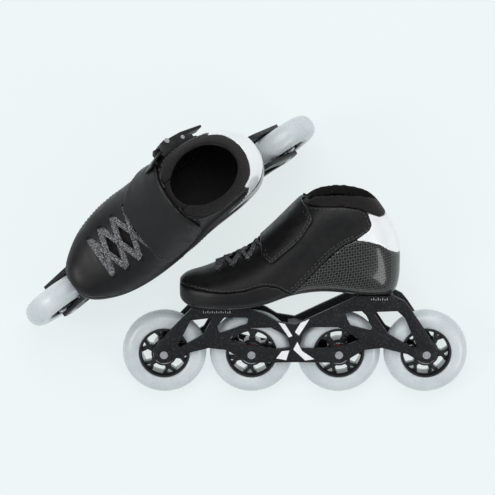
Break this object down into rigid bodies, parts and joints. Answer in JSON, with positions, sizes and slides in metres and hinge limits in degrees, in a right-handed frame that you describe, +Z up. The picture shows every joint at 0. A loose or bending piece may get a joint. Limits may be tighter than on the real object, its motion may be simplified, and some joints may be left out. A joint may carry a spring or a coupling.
{
  "type": "inline skates",
  "caption": "Pair of low-cut inline speed skates with laced leather uppers, carbon heel shells, ratchet straps and pierced aluminium frames.",
  "frame": {"origin": "bottom centre of the bounding box of the pair, on the surface the pair rests on", "axes": "+X along the lying skate, towards its heel; +Y towards the lying skate's collar; +Z up from the surface"},
  "size_m": [0.4412, 0.2756, 0.2073],
  "materials": {
    "frame": "charcoal sparkle coat on aluminium",
    "bolt": "bright machined",
    "steel": "zinc plated",
    "spacer": "turned",
    "carbon": "gloss carbon weave",
    "heel_tab": "gloss white coated leather",
    "lining": "dark padded lining",
    "leather": "satin black leather",
    "tongue": "black padded mesh",
    "footbed": "black felt over foam",
    "lace": "heather dark grey flat lace",
    "buckle": "black nylon",
    "tyre": "milky translucent polyurethane",
    "hub": "glossy black moulded nylon",
    "bearing": "steel rings, dark red shields"
  },
  "bodies": {
    "lying_skate": {"lying_frame": "frame", "lying_axle_bolts": "bolt", "lying_bearing_inner_rings": "steel", "lying_bearing_spacers": "spacer", "lying_mount_bolts": "steel", "lying_carbon_shell": "carbon", "lying_heel_tab": "heel_tab", "lying_collar": "lining", "lying_toe_rand": "leather", "lying_upper": "leather", "lying_tongue": "tongue", "lying_footbed": "footbed", "lying_laces": "lace", "lying_instep_strap": "leather", "lying_buckle_base": "buckle", "lying_buckle_pins": "steel"},
    "lying_wheel_1": {"lying_tyre_1": "tyre", "lying_hub_1": "hub", "lying_bearings_1": "bearing"},
    "lying_wheel_2": {"lying_tyre_2": "tyre", "lying_hub_2": "hub", "lying_bearings_2": "bearing"},
    "lying_wheel_3": {"lying_tyre_3": "tyre", "lying_hub_3": "hub", "lying_bearings_3": "bearing"},
    "lying_wheel_4": {"lying_tyre_4": "tyre", "lying_hub_4": "hub", "lying_bearings_4": "bearing"},
    "lying_ladder": {"lying_ladder_strap": "buckle"},
    "lying_lever": {"lying_buckle_lever": "buckle"},
    "standing_skate": {"standing_frame": "frame", "standing_axle_bolts": "bolt", "standing_bearing_inner_rings": "steel", "standing_bearing_spacers": "spacer", "standing_mount_bolts": "steel", "standing_carbon_shell": "carbon", "standing_heel_tab": "heel_tab", "standing_collar": "lining", "standing_toe_rand": "leather", "standing_upper": "leather", "standing_tongue": "tongue", "standing_footbed": "footbed", "standing_laces": "lace", "standing_instep_strap": "leather", "standing_buckle_base": "buckle", "standing_buckle_pins": "steel"},
    "standing_wheel_1": {"standing_tyre_1": "tyre", "standing_hub_1": "hub", "standing_bearings_1": "bearing"},
    "standing_wheel_2": {"standing_tyre_2": "tyre", "standing_hub_2": "hub", "standing_bearings_2": "bearing"},
    "standing_wheel_3": {"standing_tyre_3": "tyre", "standing_hub_3": "hub", "standing_bearings_3": "bearing"},
    "standing_wheel_4": {"standing_tyre_4": "tyre", "standing_hub_4": "hub", "standing_bearings_4": "bearing"},
    "standing_ladder": {"standing_ladder_strap": "buckle"},
    "standing_lever": {"standing_buckle_lever": "buckle"}
  },
  "joints": [
    {"name": "lying_wheel_1_spin", "type": "hinge", "parent": "lying_skate", "child": "lying_wheel_1", "pos_m": [-0.08333, -0.09705, 0.02213], "axis": [0, -0.3112, 0.9503], "continuous": true},
    {"name": "lying_wheel_2_spin", "type": "hinge", "parent": "lying_skate", "child": "lying_wheel_2", "pos_m": [0.00397, -0.09705, 0.02213], "axis": [0, -0.3112, 0.9503], "continuous": true},
    {"name": "lying_wheel_3_spin", "type": "hinge", "parent": "lying_skate", "child": "lying_wheel_3", "pos_m": [0.09127, -0.09705, 0.02213], "axis": [0, -0.3112, 0.9503], "continuous": true},
    {"name": "lying_wheel_4_spin", "type": "hinge", "parent": "lying_skate", "child": "lying_wheel_4", "pos_m": [0.17857, -0.09705, 0.02213], "axis": [0, -0.3112, 0.9503], "continuous": true},
    {"name": "lying_ladder_feed", "type": "hinge", "parent": "lying_skate", "child": "lying_ladder", "pos_m": [0.08422, 0.0165, 0.09026], "axis": [0.5299, 0.8059, 0.264], "range_deg": [0, 14]},
    {"name": "lying_lever_lift", "type": "hinge", "parent": "lying_skate", "child": "lying_lever", "pos_m": [0.07829, 0.04412, 0.01786], "axis": [0.5299, 0.8059, 0.264], "range_deg": [0, 70]},
    {"name": "standing_wheel_1_spin", "type": "hinge", "parent": "standing_skate", "child": "standing_wheel_1", "pos_m": [-0.18339, -0.04345, 0.042], "axis": [0.5764, -0.8171, 0], "continuous": true},
    {"name": "standing_wheel_2_spin", "type": "hinge", "parent": "standing_skate", "child": "standing_wheel_2", "pos_m": [-0.11205, 0.00687, 0.042], "axis": [0.5764, -0.8171, 0], "continuous": true},
    {"name": "standing_wheel_3_spin", "type": "hinge", "parent": "standing_skate", "child": "standing_wheel_3", "pos_m": [-0.04072, 0.05719, 0.042], "axis": [0.5764, -0.8171, 0], "continuous": true},
    {"name": "standing_wheel_4_spin", "type": "hinge", "parent": "standing_skate", "child": "standing_wheel_4", "pos_m": [0.03062, 0.10752, 0.042], "axis": [0.5764, -0.8171, 0], "continuous": true},
    {"name": "standing_ladder_feed", "type": "hinge", "parent": "standing_skate", "child": "standing_ladder", "pos_m": [-0.02952, 0.02911, 0.17112], "axis": [0.433, 0.3055, 0.848], "range_deg": [0, 14]},
    {"name": "standing_lever_lift", "type": "hinge", "parent": "standing_skate", "child": "standing_lever", "pos_m": [-0.07899, 0.08894, 0.17483], "axis": [0.433, 0.3055, 0.848], "range_deg": [0, 70]},
    {"name": "standing_lift", "type": "slide", "parent": "lying_skate", "child": "standing_skate", "axis": [0, 0, 1], "range_m": [0, 0.25]}
  ]
}
